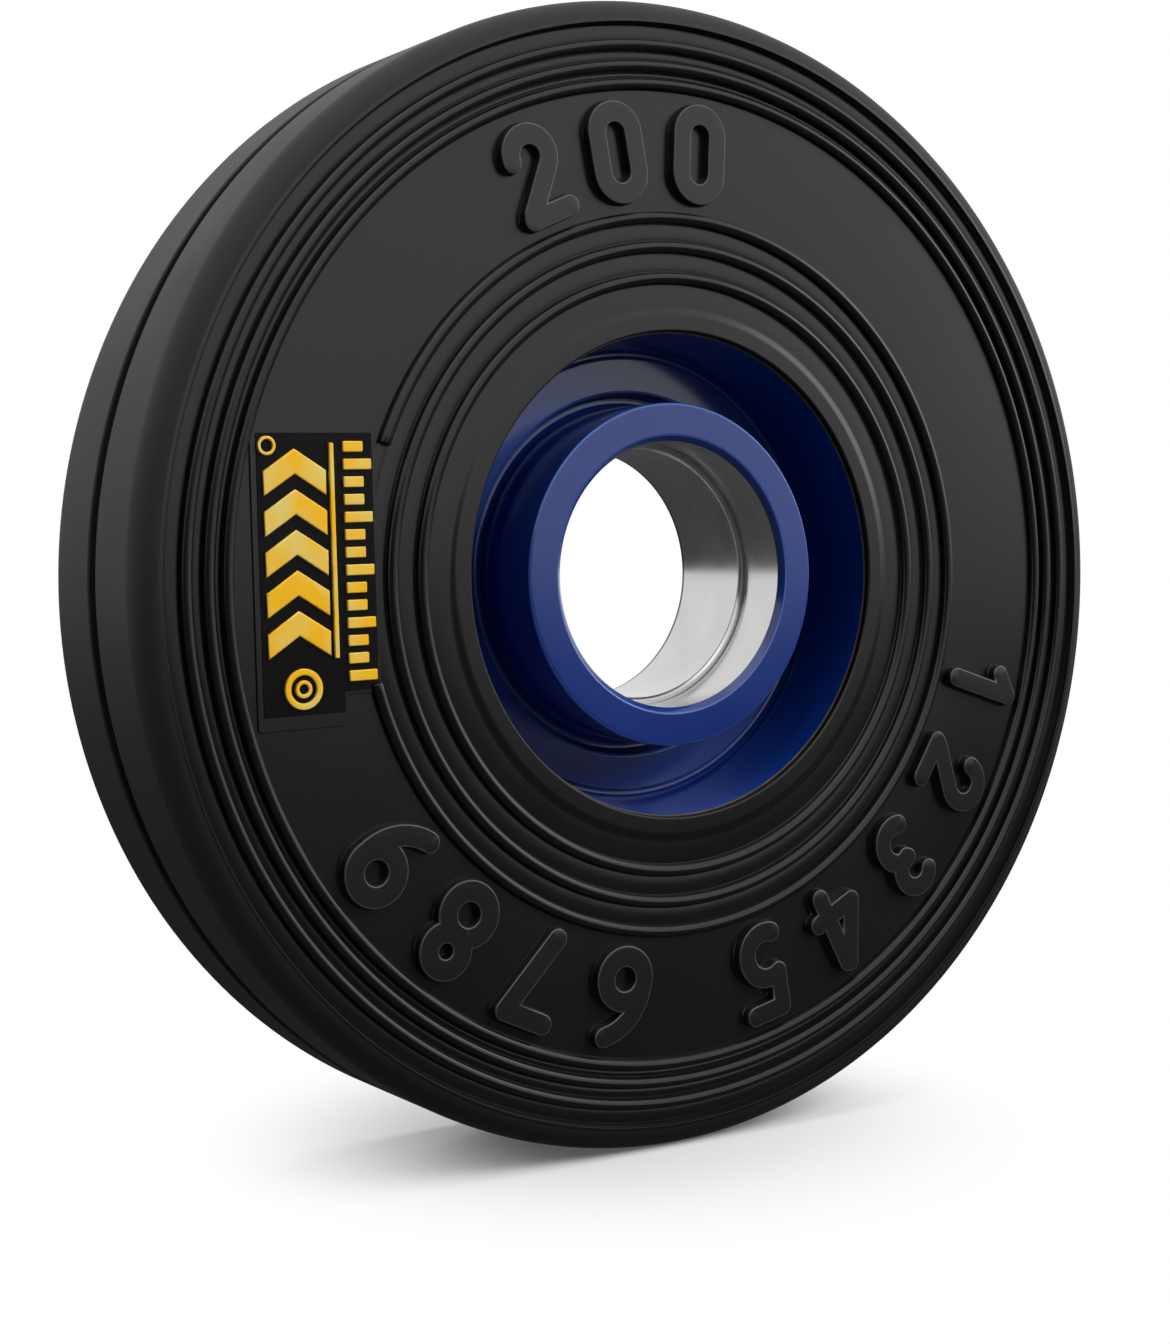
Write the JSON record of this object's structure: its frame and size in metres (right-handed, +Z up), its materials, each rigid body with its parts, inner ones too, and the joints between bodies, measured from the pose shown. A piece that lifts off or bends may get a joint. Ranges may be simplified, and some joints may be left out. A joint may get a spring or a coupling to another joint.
{
  "type": "trolley wheel",
  "caption": "Rubber-tyred cast-iron trolley wheel with a grooved tread, ribbed side faces, a recessed web and a stepped bearing bore through its hub.",
  "frame": {"origin": "centre of the wheel, on the axle line and midway between the two side faces", "axes": "+Y along the axle toward the plain rear face, +Z up; the dressed face with the bearing seat's mouth looks toward -Y and the wheel stands on its tread"},
  "size_m": [0.2, 0.037, 0.2],
  "materials": {
    "blue_paint": "gloss royal blue paint over smooth cast iron, with the bore machined bare and bright",
    "black_rubber": "moulded black rubber with a soft satin sheen"
  },
  "bodies": {
    "root": {"wheel_centre": "blue_paint", "tyre": "black_rubber"}
  },
  "joints": []
}
